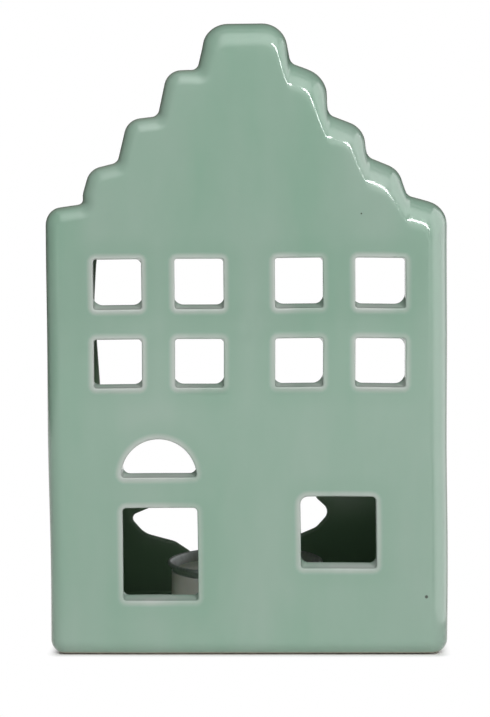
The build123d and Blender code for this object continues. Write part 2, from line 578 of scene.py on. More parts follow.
class NodeTree:
    """The nodes of a material or a world, with a method for each step that several of them take."""

    def __init__(self, owner: Material | bpy.types.World) -> None:
        """Turns the owner's nodes on and clears them.

        Args:
            owner: the material or world.
        """
        owner.use_nodes = True
        self.owner = owner
        self.nodes = owner.node_tree.nodes
        self.nodes.clear()

    def add(self, kind: str, inputs: dict | None = None, **settings: str) -> bpy.types.Node:
        """Adds a node, sets its properties, and fills or links its inputs.

        Args:
            kind: type name of the node, as it goes on after ShaderNode.
            inputs: input names or numbers, with a value, a hex colour or the socket to link.
            settings: property names and values.

        Returns:
            The node.
        """
        node = self.nodes.new("ShaderNode" + kind)
        for key, value in settings.items():
            setattr(node, key, value)
        for key, value in (inputs or {}).items():
            if isinstance(value, Socket):
                self.owner.node_tree.links.new(value, node.inputs[key])
            else:
                node.inputs[key].default_value = linear(value) if isinstance(value, str) else value
        return node

    def surface(self, kind: str, inputs: dict) -> Material:
        """Gives the material its shader and returns it."""
        self.add("OutputMaterial", {"Surface": self.add(kind, inputs).outputs[0]})
        return self.owner

    def place_at(self) -> Socket:
        """Returns the object coordinates."""
        return self.add("TexCoord").outputs["Object"]

    def attribute(self, name: str) -> Socket:
        """Returns a number that the mesh carries."""
        return self.add("Attribute", attribute_name=name).outputs["Fac"]

    def seen(self) -> Socket:
        """Tells the rays that a viewer could see along from those that light the scene.

        Returns:
            1 for a ray from the camera, off gloss or through glass, and 0 for any other.
        """
        path = self.add("LightPath").outputs
        seen = self.math("MAXIMUM", path["Is Camera Ray"], path["Is Transmission Ray"])
        return self.math("MAXIMUM", seen, path["Is Glossy Ray"])

    def math(self, operation: str, *values: float | Socket) -> Socket:
        """Returns what a math node makes of the values."""
        return self.add("Math", dict(enumerate(values)), operation=operation).outputs[0]

    def ramp(self, value: Socket, low: float, high: float, start: float | Socket = 0.0,
             end: float | Socket = 1.0, kind: str = "LINEAR") -> Socket:
        """Returns a number that goes from start to end as the value goes from low to high."""
        return self.add("MapRange", {"Value": value, "From Min": low, "From Max": high, "To Min": start,
                                     "To Max": end}, interpolation_type=kind).outputs["Result"]

    def mix(self, share: Socket, first: str | Socket, second: str | Socket) -> Socket:
        """Returns the first colour at share 0 and the second at share 1."""
        return self.add("Mix", {0: share, 6: first, 7: second}, data_type="RGBA").outputs[2]

    def noise(self, size: float, detail: float, stretch: Triple = (1.0, 1.0, 1.0),
              roughness: float = 0.5) -> Socket:
        """Makes noise in object coordinates.

        Args:
            size: size of its blotches in mm.
            detail: layers of finer noise.
            stretch: scale along each axis, where less than 1 draws the blotches out.
            roughness: strength of the finer layers.

        Returns:
            The noise, from 0 to 1.
        """
        at = self.add("Mapping", {"Vector": self.place_at(), "Scale": stretch}).outputs["Vector"]
        return self.add("TexNoise", {"Vector": at, "Scale": 1 / (size * MM), "Detail": detail,
                                     "Roughness": roughness}).outputs["Fac"]

    def bump(self, height: Socket, strength: float, depth: float) -> Socket:
        """Returns the normal of a surface with this relief, whose depth is in mm."""
        return self.add("Bump", {"Strength": strength, "Distance": depth * MM,
                                 "Height": height}).outputs["Normal"]


@dataclass(frozen=True)
class CeladonGlaze:
    """Glossy celadon glaze on stoneware, poured and fired.

    The glaze runs off the rims of the openings, which are paler, and off the outer edges, where
    the clay shows through grey brown. It gathers beside the rims, where it is greener. The rest
    is clouded, and streaked where it ran. The room inside is coloured dark olive as painted
    shade of the closed house, and its glaze there is rougher.
    """

    deep: str = "#8DAD9A"
    light: str = "#99B2A3"
    pooled: str = "#86A894"
    rim: str = "#BEC4BF"
    edge: str = "#989488"
    # Painted shade: dark olive that stands for the shade inside the closed house
    painted_room_shade: str = "#708A70"
    foot: str = "#A79F90"
    speck: str = "#4A524A"
    roughness: float = 0.1
    room_roughness: float = 0.24
    clay_roughness: float = 0.8
    refraction: float = 1.52
    rim_width: float = 1.7
    edge_width: float = 3.6
    pool_reach: float = 6.5
    pool_share: float = 0.3
    edge_share: float = 0.5
    # Least and most that a rim pales, as the clouds go
    rim_shares: Pair = (0.42, 0.86)
    # Heights between which the glaze thins to bare clay at the foot
    wiped_foot: Pair = (0.9, 0.4)
    cloud_size: float = 17.0
    cloud_tones: Pair = (0.32, 0.68)
    run: float = 0.3
    wave_size: float = 9.0
    wave_weight: float = 6.0
    peel_size: float = 2.6
    # Place on the front and radius of each spot where a bubble burst
    pinholes: tuple[Triple, ...] = ((42.3, 14.4, 0.5), (27.0, 105.1, 0.25))

    def make(self) -> Material:
        """Makes the nodes of the material.

        Returns:
            The material.
        """
        tree = NodeTree(bpy.data.materials.new("celadon_glazed_stoneware"))
        rim, edge, room = map(tree.attribute, ("rim_distance", "edge_distance", "inside_share"))
        place_at = tree.place_at()
        height = tree.add("SeparateXYZ", {"Vector": place_at}).outputs["Z"]
        clouds = tree.noise(self.cloud_size, 3.0, (1.0, 1.0, self.run), 0.55)
        pool = tree.ramp(rim, self.pool_reach, self.rim_width, end=self.pool_share, kind=SMOOTH)
        run_off = tree.ramp(clouds, 0.4, 0.6, *self.rim_shares, SMOOTH)
        thin_rim = tree.ramp(rim, self.rim_width, self.rim_width * 0.1, end=run_off, kind=SMOOTH)
        thin_edge = tree.ramp(edge, self.edge_width, 0.0, end=self.edge_share, kind=SMOOTH)
        unglazed = tree.ramp(height, *(z * MM for z in self.wiped_foot), kind=SMOOTH)
        colour = tree.mix(tree.ramp(clouds, *self.cloud_tones), self.deep, self.light)
        # The room's share paints shade onto the walls inside
        for share, hue in ((pool, self.pooled), (room, self.painted_room_shade), (thin_edge, self.edge),
                           (thin_rim, self.rim), (unglazed, self.foot)):
            colour = tree.mix(share, colour, hue)
        for x, z, size in self.pinholes:
            spot = (x * MM, -HALF_DEPTH * MM, z * MM)
            apart = tree.add("VectorMath", {0: place_at, 1: spot}, operation="DISTANCE").outputs["Value"]
            colour = tree.mix(tree.ramp(apart, size * MM, size * 0.6 * MM), colour, self.speck)
        gloss = tree.ramp(room, 0.0, 1.0, self.roughness, self.room_roughness)
        relief = tree.math("MULTIPLY_ADD", tree.noise(self.wave_size, 1.0), self.wave_weight,
                           tree.noise(self.peel_size, 1.0))
        return tree.surface("BsdfPrincipled", {
            "Base Color": colour, "IOR": self.refraction, "Normal": tree.bump(relief, 0.35, 0.02),
            "Roughness": tree.ramp(unglazed, 0.0, 1.0, gloss, self.clay_roughness)})


@dataclass(frozen=True)
class PressedFoil:
    """Bare aluminium foil, deep-drawn: bright, a little brushed by the die, faintly dented."""

    colour: str = "#D3D6D6"
    worn: str = "#B9BDBD"
    roughness: Pair = (0.46, 0.6)
    die_line: float = 0.8
    drawn_out: float = 0.12
    dent: float = 5.0

    def make(self) -> Material:
        """Makes the nodes of the material.

        Returns:
            The material.
        """
        tree = NodeTree(bpy.data.materials.new("deep_drawn_aluminium_foil"))
        lines = tree.noise(self.die_line, 2.0, (1.0, 1.0, self.drawn_out))
        relief = tree.math("MULTIPLY_ADD", tree.noise(self.dent, 1.0), 3.0, lines)
        return tree.surface("BsdfPrincipled", {
            "Base Color": tree.mix(lines, self.colour, self.worn), "Metallic": 1.0,
            "Roughness": tree.ramp(lines, 0.3, 0.7, *self.roughness),
            "Normal": tree.bump(relief, 0.4, 0.05)})


@dataclass(frozen=True)
class ParaffinWax:
    """Pressed white paraffin: light goes a little way in, and the top is faintly granular."""

    colour: str = "#E4E2DA"
    shade: str = "#D6D4CB"
    roughness: float = 0.42
    refraction: float = 1.44
    grain: float = 0.9
    cloud_size: float = 7.0
    depth: float = 2.0

    def make(self) -> Material:
        """Makes the nodes of the material.

        Returns:
            The material.
        """
        tree = NodeTree(bpy.data.materials.new("pressed_paraffin_wax"))
        grains = tree.add("TexVoronoi", {
            "Vector": tree.place_at(), "Scale": 1 / (self.grain * MM)}).outputs["Distance"]
        return tree.surface("BsdfPrincipled", {
            "Base Color": tree.mix(tree.noise(self.cloud_size, 3.0), self.colour, self.shade),
            "Roughness": self.roughness, "IOR": self.refraction, "Normal": tree.bump(grains, 0.25, 0.08),
            "Subsurface Weight": 0.6, "Subsurface Radius": (1.0, 0.85, 0.7),
            "Subsurface Scale": self.depth * MM})


@dataclass(frozen=True)
class WaxedCotton:
    """Braided cotton dipped in wax: cream and fibrous, with painted shade that darkens its furrows."""

    colour: str = "#E8E2D2"
    # Painted shade: colour of the furrows between the strands
    painted_furrow_shade: str = "#B7AE98"
    roughness: float = 0.68
    refraction: float = 1.45
    fibre: float = 0.12
    drawn_out: float = 0.25

    def make(self) -> Material:
        """Makes the nodes of the material.

        Returns:
            The material.
        """
        tree = NodeTree(bpy.data.materials.new("waxed_braided_cotton"))
        fibres = tree.noise(self.fibre, 3.0, (1.0, 1.0, self.drawn_out))
        # Random tone of the fibres, times the strand height, which paints shade into the furrows
        fibre_tone_and_furrow_shade = tree.ramp(tree.math("MULTIPLY", tree.attribute("strand_height"), fibres), 0.05, 0.5)
        return tree.surface("BsdfPrincipled", {
            "Base Color": tree.mix(fibre_tone_and_furrow_shade, self.painted_furrow_shade, self.colour), "Roughness": self.roughness,
            "IOR": self.refraction, "Normal": tree.bump(fibres, 0.5, 0.05)})


@dataclass(frozen=True)
class TinnedSheet:
    """Stamped tinned steel: greyer than foil, with the rolling marks of the sheet."""

    colour: str = "#B9BDBE"
    mark: str = "#8F9496"
    roughness: Pair = (0.28, 0.5)
    rolling: float = 0.35
    drawn_out: float = 0.06

    def make(self) -> Material:
        """Makes the nodes of the material.

        Returns:
            The material.
        """
        tree = NodeTree(bpy.data.materials.new("stamped_tinned_steel"))
        marks = tree.noise(self.rolling, 3.0, (self.drawn_out, 1.0, 1.0))
        return tree.surface("BsdfPrincipled", {
            "Base Color": tree.mix(marks, self.colour, self.mark), "Metallic": 1.0,
            "Roughness": tree.ramp(marks, 0.0, 1.0, *self.roughness),
            "Normal": tree.bump(marks, 0.3, 0.02)})


@dataclass(frozen=True)
class GlazedHouse:
    """The whole ceramic body as one skin: front, back, belt, openings and the space inside.

    A face's line is where its flat part ends and the rounding to the belt begins. Sides are
    left, right, bottom and top, and radii of four corners go from the lower left one round.
    """

    right_radii: tuple[float, ...] = (6.0, 2.2, 5.6, 2.2, 5.6, 2.2, 5.6, 2.2, 6.0)
    left_radii: tuple[float, ...] = (5.6, 2.0, 4.2, 2.0, 4.2, 2.0, 4.2, 2.0, 4.0)
    base_radius: float = 3.4
    base_face_radius: float = 0.8
    outer_round: float = 3.8
    deepest_round: float = 7.0
    rim_round: float = 0.45
    inner_rim_round: float = 0.7
    cavity_rounds: Pair = (2.2, 0.4)
    cavity_corners: Pair = (3.0, 3.4)
    hole_inner_round: float = 0.85
    window_columns: tuple[Pair, ...] = ((-36.27, -24.85), (-16.95, -5.4), (6.8, 18.1), (25.75, 37.55))
    # Bottom and top of each row of windows at the front, and its sill inside
    window_rows: tuple[Triple, ...] = ((82.95, 94.7, 83.8), (64.35, 75.8, 64.95))
    window_corner: float = 0.6
    # How far a window's left, right and top side lie further left or down inside
    window_slants: Triple = (0.5, 0.05, 0.05)
    inner_corners: tuple[Four, ...] = (
        (2.4, 2.2, 2.0, 0.9), (2.3, 1.8, 1.3, 0.9), (2.4, 1.9, 1.2, 1.0), (2.0, 2.4, 0.9, 0.9),
        (1.2, 2.0, 1.9, 1.0), (2.3, 2.2, 1.7, 1.6), (2.2, 2.4, 1.8, 1.5), (2.2, 2.3, 2.0, 1.6))
    # Door and ground floor window: sides and radii at the front, then inside
    ground_cuts: tuple[tuple[Four, Four, Four, Four], ...] = (
        ((-29.95, -12.05, 13.5, 35.7), (0.7, 0.7, 1.0, 1.0),
         (-30.4, -12.1, 14.15, 35.65), (1.6, 1.2, 1.6, 1.2)),
        ((12.5, 30.5, 21.1, 38.2), (0.8, 0.8, 1.0, 1.9),
         (12.55, 30.4, 21.8, 38.15), (1.8, 1.6, 1.6, 2.2)))
    # Fanlight: middle, sill, radius and corner at the front, then inside
    fanlight: tuple[Four, Four] = ((-21.05, 43.0, 9.05, 0.8), (-21.05, 43.55, 8.95, 1.6))
    # Hole in the back: x, z and rounding of each bend of its edge, from the upper left down and round
    hole_rows: tuple[Triple, ...] = (
        (-40.6, 99.5, 8.0), (-41.5, 82.5, 30.0), (-40.2, 58.0, 20.0), (-41.2, 37.4, 7.0),
        (-24.6, 28.9, 1.8), (-32.9, 25.4, 1.4), (-29.0, 20.9, 6.0), (-20.9, 18.7, 5.0),
        (-17.2, 16.2, 5.0), (-13.2, 11.8, 4.0), (-6.0, 9.4, 8.0), (8.0, 18.6, 6.0),
        (16.6, 22.3, 4.0), (20.5, 26.6, 2.4), (14.8, 31.7, 2.0),
        (24.0, 35.6, 8.0), (41.4, 41.0, 7.0), (41.4, 99.5, 8.0))
    hole_slant: float = 0.9
    # Corners of the front face's line from the crest down past the right steps, and their rounding
    right_face: tuple[Pair, ...] = (
        (5.9, 144.0), (9.9, 133.3), (12.9, 132.7), (19.2, 121.0), (22.9, 120.6), (28.3, 111.0),
        (32.3, 108.9), (38.0, 101.0), (42.75, 99.6))
    right_face_radii: tuple[float, ...] = (2.4, 2.4, 2.8, 2.6, 3.0, 4.0, 5.0, 3.5, 3.0)
    plain_face_radii: tuple[float, ...] = (2.0, 4.0, 0.9, 4.0, 0.9, 4.0, 0.9, 4.0, 0.9)
    crest_face: float = 144.0
    lattice: float = 1.5
    room_coarser: float = 1.3
    # Edge and rim distances on the walls of the room, at their lines
    room_margins: Pair = (9.0, 5.0)
    # Share by which the distance grows on a reveal, which keeps the reveal pale: partly thin glaze between
    # two rims, partly painted light that stands in for the light on the sills
    reveal_growth: float = 0.25
    # Share by which the whole is drawn in, so that its waves stay within the solids' box
    shrink: float = 0.0045
    # Outward lean of the left steps, and by how much less the crest leans
    step_lean: float = 0.85
    crest_upright: float = 0.5
    step_settling: float = 0.55
    crest_sag: float = 0.18

    def corners(self) -> Array:
        """Returns the sharp corners of the outline, from the lower left one round."""
        return np.array([(-HALF_WIDTH, 0.0), (HALF_WIDTH, 0.0), *GABLE[::-1]])

    def moved_in(self, distance: float) -> Array:
        """Moves every side of the outline inwards.

        Each corner moves by the distance divided by 1 plus the cosine of its turn, along the
        sum of the normals of its two sides.

        Args:
            distance: how far the sides move.

        Returns:
            The sharp corners between the moved sides.
        """
        corner = self.corners()
        arriving, leaving, _ = turns_at(corner)
        inwards = (arriving + leaving)[:, ::-1] * (-1, 1)
        return corner + inwards * distance / (1 + (arriving * leaving).sum(1, keepdims=True))

    def outer_loops(self) -> list[Loop]:
        """Lays out the outline and the lines where its roundings meet the front and back face.

        All three have the same number of points. On the front, the crest and the right steps
        were wiped with a wet finger, which drew the face's line far down there.

        Returns:
            The outline, the front face's line and the back face's line.
        """
        corner = self.corners()
        side = np.linalg.norm(np.roll(corner, -1, axis=0) - corner, axis=1)
        pieces = np.ceil(side / LINE_STEP).astype(int).tolist()
        back = self.moved_in(self.outer_round)
        front = back.copy()
        front[2:11] = self.right_face[::-1]
        front[1, 0] = self.right_face[-1][0]
        front[11, 1] = self.crest_face
        base, plain = [self.base_face_radius] * 2, self.plain_face_radii
        return [rounded_loop(corners, radii, pieces) for corners, radii in (
            (corner, [self.base_radius] * 2 + [*self.right_radii[::-1], *self.left_radii]),
            (front, [*base, *self.right_face_radii[::-1], *plain]),
            (back, [*base, *plain[::-1], *plain]))]

    def cavity(self) -> Loop:
        """Moves the house's outline a wall's thickness further in.

        Returns:
            The outline of the space inside.
        """
        _, _, turn = turns_at(self.corners())
        radii = np.where(turn > 0, *self.cavity_corners).ravel()
        return rounded_loop(self.moved_in(WALL), radii, steps=2.2, arc_steps=8)

    def cut_openings(self) -> list[Opening]:
        """Lays out the windows, the door, the ground floor window and the fanlight.

        Returns:
            Their outlines at the front and at the inside, in that order.
        """
        left_in, right_in, top_in = self.window_slants
        places = [(row, column) for row in self.window_rows for column in self.window_columns]
        windows = [((left, right, bottom, top), (self.window_corner,) * 4,
                    (left - left_in, right - right_in, sill, top - top_in), inner)
                   for ((bottom, top, sill), (left, right)), inner in zip(places, self.inner_corners)]
        cuts = [Opening(rectangle(*outer, outer_radii), rectangle(*inner, inner_radii))
                for outer, outer_radii, inner, inner_radii in [*windows, *self.ground_cuts]]
        return [*cuts, Opening(*(half_round_loop(*sizes) for sizes in self.fanlight))]

    def hand_made(self, points: Array) -> Array:
        """Bends the straight solid a little, as clay does when it is cut, dried and fired.

        Each axis takes a sum of two sines of the other two. The left steps lean outwards and
        stand a little high, and the right ones have sunk. Nothing moves up or down at the foot.

        Args:
            points: n points in mm.

        Returns:
            The moved points.
        """
        x, y, z = points.T
        wave_x = 0.11 * np.sin(z / 19 + 1.1) + 0.07 * np.sin(z / 8.3 + y / 21)
        wave_y = 0.07 * np.sin(x / 17 + z / 31) + 0.05 * np.sin(x / 9.1 - z / 13 + 2.0)
        wave_z = 0.10 * np.sin(x / 14 + 0.6) + 0.06 * np.sin(x / 6.7 + y / 18)
        left_steps = smooth_ramp(106.5, 110.0, z) * smooth_ramp(-4.0, -10.0, x)
        lean = left_steps * (self.step_lean - self.crest_upright * smooth_ramp(138.0, 146.0, z))
        left_treads = smooth_ramp(100.0, 106.0, z) * smooth_ramp(-8.0, -13.0, x)
        right_treads = smooth_ramp(108.0, 112.0, z) * smooth_ramp(14.0, 20.0, x)
        settled = self.step_settling * left_treads - self.step_settling * right_treads
        sunk = settled - self.crest_sag * smooth_ramp(100.0, 150.0, z)
        above_foot, below_crest = smooth_ramp(6.0, 30.0, z), smooth_ramp(150.0, 130.0, z)
        moved_z = z + sunk + wave_z * above_foot * (0.35 + 0.65 * below_crest)
        inset = 1 - self.shrink
        return np.stack([x * inset + (wave_x - lean), y * inset + wave_y, moved_z], axis=-1)

    def build(self) -> Shell:
        """Builds the whole skin from loops, profiles and flat fills.

        Returns:
            The closed skin.
        """
        outline, front_line, back_line = self.outer_loops()
        cavity, openings = self.cavity(), self.cut_openings()
        *ends, rounds = zip(*self.hole_rows)
        hole = rounded_loop(np.transpose(ends), rounds)
        slanted = Loop(hole.offset(self.hole_slant), hole.normals)
        front_inner, back_inner = WALL - HALF_DEPTH, HALF_DEPTH - WALL
        shell = Shell()
        self.add_belt(shell, outline, front_line, back_line)
        reveal = self.reveal(-HALF_DEPTH, front_inner, (self.rim_round, self.inner_rim_round), Facing.FRONT)
        for opening in openings:
            shell.sweep(opening.outer, reveal, Skin.REVEAL, opening.inner)
        reveal = self.reveal(back_inner, HALF_DEPTH, (self.hole_inner_round, self.rim_round), Facing.BACK)
        shell.sweep(hole, reveal, Skin.HOLE, slanted)
        margins = (math.pi / 2 * self.outer_round, math.pi / 4 * self.rim_round)
        shell.fill(front_line.points, [o.outer.offset(self.rim_round) for o in openings],
                   -HALF_DEPTH, Facing.FRONT, self.lattice, margins)
        shell.fill(back_line.points, [slanted.offset(self.rim_round)], HALF_DEPTH, Facing.BACK,
                   self.lattice, margins)
        room = section(front_inner, back_inner, self.cavity_rounds, -1, (6, 22, 4))
        shell.sweep(cavity, Profile(*room, np.full(len(room[0]), self.room_margins[0])), Skin.ROOM)
        front_round, back_round = self.cavity_rounds
        coarse = self.lattice * self.room_coarser
        shell.fill(cavity.offset(-front_round), [o.inner.offset(self.inner_rim_round) for o in openings],
                   front_inner, Facing.BACK, coarse, self.room_margins, inside=True)
        shell.fill(cavity.offset(-back_round), [hole.offset(self.hole_inner_round)],
                   back_inner, Facing.FRONT, coarse, self.room_margins, inside=True)
        return shell

    def reveal(self, front: float, back: float, rounds: Pair, outer: Facing) -> Profile:
        """Profile of an opening's edge: rounding, straight reveal, rounding.

        Args:
            front: y of the face at the front end.
            back: y of the face at the back end.
            rounds: rounding at the front and at the back end.
            outer: which end is on the outside of the house.

        Returns:
            The profile, whose crest value is the way from the outer rounding's middle.
        """
        line = section(front, back, rounds, 1, (7, 6, 7))
        along = np.concatenate([[0.0], np.cumsum(np.hypot(*np.diff(line)))])
        if outer is Facing.BACK:
            along = along[-1] - along
        away = along - math.pi / 4 * rounds[0 if outer is Facing.FRONT else 1]
        # A slow growth keeps the reveal pale: partly thin glaze, partly painted light on the sills
        return Profile(*line, np.where(away > 0, away * self.reveal_growth, -away))

    def add_belt(self, shell: Shell, outline: Loop, front_line: Loop, back_line: Loop) -> None:
        """Adds the outside from the front face's edge over the belt to the back face's edge.

        Across a rounding, the share of the face's line is 1 minus the sine of an angle, and the
        depth is the rounding's own depth times 1 minus its cosine. On the front that depth is
        the way between the two lines, within limits. The edge distance is counted from the
        lines where the roundings meet the belt.

        Args:
            shell: the skin so far.
            outline: outline of the house.
            front_line: edge of the flat front.
            back_line: edge of the flat back.
        """
        size, rows = self.outer_round, 19
        turn = np.radians(np.linspace(0, 90, rows))[:, None]
        way = np.linalg.norm(front_line.points - outline.points, axis=1)
        deep, every = np.clip(way, size, self.deepest_round), np.ones(len(way))
        front_depth = deep * (1 - np.cos(turn)) - HALF_DEPTH
        back_depth = HALF_DEPTH - size * (1 - np.cos(turn[::-1])) * every
        belt = np.linspace(0, 1, rows)[1:-1, None]
        belt_depth = between(front_depth[-1], back_depth[0], belt)
        share = (1 - np.sin(turn))[..., None]
        front = between(outline.points, front_line.points, share)
        back = between(outline.points, back_line.points, share[::-1])
        middle = np.broadcast_to(outline.points, (len(belt), *outline.points.shape))
        away = np.minimum(belt_depth - front_depth[-1], back_depth[0] - belt_depth)
        crest = [deep * (math.pi / 2 - turn), away, size * (math.pi / 2 - turn[::-1]) * every]
        shell.grid(np.vstack([front, middle, back]), np.vstack([front_depth, belt_depth, back_depth]),
                   np.vstack(crest), Skin.BELT)

    def dress(self) -> None:
        """Builds the ceramic body and hides the eight slabs that it stands for."""
        place(self.build().mesh("glazed_house", self.hand_made), CeladonGlaze().make(), "house",
              ["facade", "back_wall", "floor_slab", "left_side_wall",
                                   "right_side_wall", "left_step_strip", "right_step_strip",
                                   "crest_slab"])


def lathe(name: str, middle: Array, radius: Array, height: Array, poles: Pair,
          marks: dict[str, Array] | None = None) -> Mesh:
    """Turns a profile round an upright axis and closes it at both poles.

    A point is the axis plus the radius times the cosine and sine of its angle, at its height.
    The profile runs from the lower pole outwards, so that the faces look outwards.

    Args:
        name: name of the mesh.
        middle: x and y of the axis in mm, for all rows or one for each row.
        radius: radius for each row and angle.
        height: height for each row, and for each angle too or all of them.
        poles: height of the lower and of the upper pole.
        marks: names of attributes, with a value for each point and for both poles.

    Returns:
        The mesh in metres.
    """
    rows, columns = radius.shape
    middle = np.broadcast_to(middle, (rows, 2))
    angle = angles(columns)
    grid = np.stack(np.broadcast_arrays(
        middle[:, :1] + radius * np.cos(angle), middle[:, 1:] + radius * np.sin(angle), height,
    ), axis=-1).reshape(-1, 3)
    ends = [[*middle[0], poles[0]], [*middle[-1], poles[1]]]
    index = np.arange(rows * columns).reshape(rows, columns)
    ahead = np.roll(index, -1, axis=1)
    lower, upper = np.full(columns, len(grid)), np.full(columns, len(grid) + 1)
    fans = [np.stack([lower, ahead[0], index[0]], axis=-1), np.stack([upper, index[-1], ahead[-1]], axis=-1)]
    faces = ring_quads(index).tolist() + np.vstack(fans).tolist()
    return new_mesh(name, np.vstack([grid, ends]), faces, marks or {})


def rounded_profile(corners: list, radii: list) -> Array:
    """Rounds the inner corners of an open line.

    The line is closed far inside, rounded as a loop is, and cut open again at its two ends.

    Args:
        corners: radius and height of each corner, the first and last being the ends.
        radii: rounding of each corner between them.

    Returns:
        Radius and height of each point.
    """
    away = [(-60.0, corners[-1][1]), (-60.0, corners[0][1])]
    loop = rounded_loop([*corners[1:-1], *away], [*radii, 0.0, 0.0], steps=1.2, arc_steps=6)
    kept = loop.points[loop.points[:, 0] > 0.2]
    start = int(np.argmin(np.linalg.norm(kept - np.array(corners[0]), axis=1)))
    return np.roll(kept, -start, axis=0)


@dataclass(frozen=True)
class Tealight:
    """The candle: foil cup with a rolled rim, wax, wick and the tin foot that holds the wick."""

    columns: int = 144
    flutes: int = 48
    flute_depth: float = 0.07
    flute_foot: Pair = (0.6, 2.5)
    flute_top: Pair = (1.6, 3.2)
    rim_bead: float = 0.55
    wall: float = 0.4
    pole_gap: float = 0.4
    taper: float = 0.5
    meniscus: float = 0.35
    foil_climb: float = 1.6
    wick_climb: float = 2.4
    ripple: float = 0.03
    wick_columns: int = 36
    wick_rows: int = 110
    strands: int = 3
    strand_depth: float = 0.2
    twist: float = 3.4
    lean: float = 0.7
    fraying: float = 0.25
    frayed_tip: float = 1.2
    foot_columns: int = 96
    sheet: float = 0.3
    ring: float = 0.12
    collar: float = 1.3
    crimps: int = 4
    crimp: float = 0.16
    crimp_foot: Pair = (0.8, 1.6)
    crimp_top: Pair = (0.2, 0.8)

    def size_of(self, node: str) -> tuple[Array, float, float, float]:
        """Reads a round solid's size from the frame.

        Args:
            node: name of the solid.

        Returns:
            Axis, radius, lowest and highest point in mm.
        """
        low, high = (np.array(corner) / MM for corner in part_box(node))
        return (low[:2] + high[:2]) / 2, (high[0] - low[0]) / 2, low[2], high[2]

    def cup(self) -> Mesh:
        """Builds the foil cup.

        Its wall leans out a little, its flutes are a cosine of the angle that fades out above
        the foot's corner and below the rolled rim, and the rim is a bead that curls outwards.

        Returns:
            The mesh in metres.
        """
        axis, radius, foot, top = self.size_of("tealight_cup")
        bead = self.rim_bead
        throat = radius - 2 * bead
        outside = rounded_profile([
            (0.0, foot), (throat - self.taper, foot), (throat, top - bead), (0.0, top - bead)], [0.9, 0.01])
        outside = outside[outside[:, 1] < top - 2 * bead]
        turn = np.linspace(-0.5 * math.pi, math.pi, 13)
        curl = np.stack([radius - bead + bead * np.cos(turn), top - bead + bead * np.sin(turn)], -1)
        inside = outside[::-1] + np.array([-self.wall, 0.0])
        inside[:, 1] = np.maximum(inside[:, 1], foot + self.wall)
        line = np.vstack([outside, curl, inside[inside[:, 0] > self.pole_gap]])
        share = band(line[:, 1], (foot, top), self.flute_foot, self.flute_top)
        flute = (np.cos(self.flutes * angles(self.columns)) - 1) / 2
        return lathe("tealight_foil_cup", axis, line[:, :1] + share[:, None] * self.flute_depth * flute,
                     line[:, 1:], (foot, foot + self.wall))

    def wax(self) -> Mesh:
        """Builds the wax.

        Its top dips a little towards the wick, and climbs at the foil and at the wick as a
        square of how near they are.

        Returns:
            The mesh in metres.
        """
        axis, radius, foot, top = self.size_of("tealight_wax")
        side = rounded_profile([(0.0, foot), (radius, foot), (radius, top), (0.0, top)], [0.7, 0.12])
        side = side[side[:, 1] < top - 0.001]
        span = np.linspace(side[-1, 0], 0.6, 40)
        at_foil = np.clip(1 - (radius - span) / self.foil_climb, 0, 1) ** 2
        climb = at_foil + 0.8 * np.clip(1 - span / self.wick_climb, 0, 1) ** 2
        surface = top - self.meniscus * (1.3 - 0.3 * span / radius) + self.meniscus * climb
        line = np.vstack([side[:-1], np.stack([span, surface], -1)])
        angle = angles(self.columns)
        ripple = self.ripple * np.sin(3 * angle + line[:, :1] / 2.3) * (line[:, 1:] > top - 1.0)
        return lathe("tealight_wax_fill", axis, line[:, :1] * np.ones(self.columns),
                     line[:, 1:] + ripple, (foot, surface[-1]))

    def wick(self) -> Mesh:
        """Builds the wick.

        Its strands are lobes of the radius, the size of a cosine of the angle, which turn with
        the height. Its tip leans aside by the cube of the height's share of the whole.

        Returns:
            The mesh in metres.
        """
        axis, radius, foot, top = self.size_of("wick")
        rise = np.linspace(foot, top, self.wick_rows)
        turn = 2 * math.pi * rise[:, None] / self.twist
        lobe = abs(np.cos(self.strands / 2 * (angles(self.wick_columns) - turn)))
        frayed = 1 - self.fraying * smooth_ramp(top - self.frayed_tip, top, rise)[:, None]
        share = np.clip((rise - foot) / (top - foot), 0, 1)
        middle = axis + np.stack([self.lean * share ** 3, 0.35 * self.lean * share ** 3], axis=-1)
        marks = {"strand_height": np.concatenate([lobe.ravel(), [0.5, 0.5]])}
        thick = radius * frayed * (1 - self.strand_depth + self.strand_depth * lobe)
        return lathe("tealight_cotton_wick", middle, thick, rise[:, None], (foot, top), marks)

    def wick_foot(self) -> Mesh:
        """Builds the tin foot: a thin disc with a stiffening ring and a crimped collar.

        The crimps are dents of the collar, as deep as a cosine of the angle, once for each crimp.

        Returns:
            The mesh in metres.
        """
        axis, radius, foot, top = self.size_of("wick_foot")
        face = foot + self.sheet
        line = rounded_profile([
            (0.0, foot), (radius, foot), (radius, face), (4.4, face), (4.0, face + self.ring),
            (3.6, face), (self.collar, face), (self.collar, top), (0.0, top)],
            [0.1, 0.1, 0.1, 0.15, 0.1, 0.15, 0.1])
        share = band(line[:, 1], (foot, top), self.crimp_foot, self.crimp_top)
        dent = (np.cos(self.crimps * angles(self.foot_columns)) - 1) / 2
        return lathe("tealight_wick_foot", axis, line[:, :1] + share[:, None] * self.crimp * dent,
                     line[:, 1:], (foot, top))

    def dress(self) -> None:
        """Builds the four parts of the candle and hides the solids that they stand for."""
        place(self.cup(), PressedFoil().make(), "tealight", ["tealight_cup"])
        place(self.wax(), ParaffinWax().make(), "tealight", ["tealight_wax"])
        place(self.wick(), WaxedCotton().make(), "tealight", ["wick"])
        place(self.wick_foot(), TinnedSheet().make(), "tealight", ["wick_foot"])


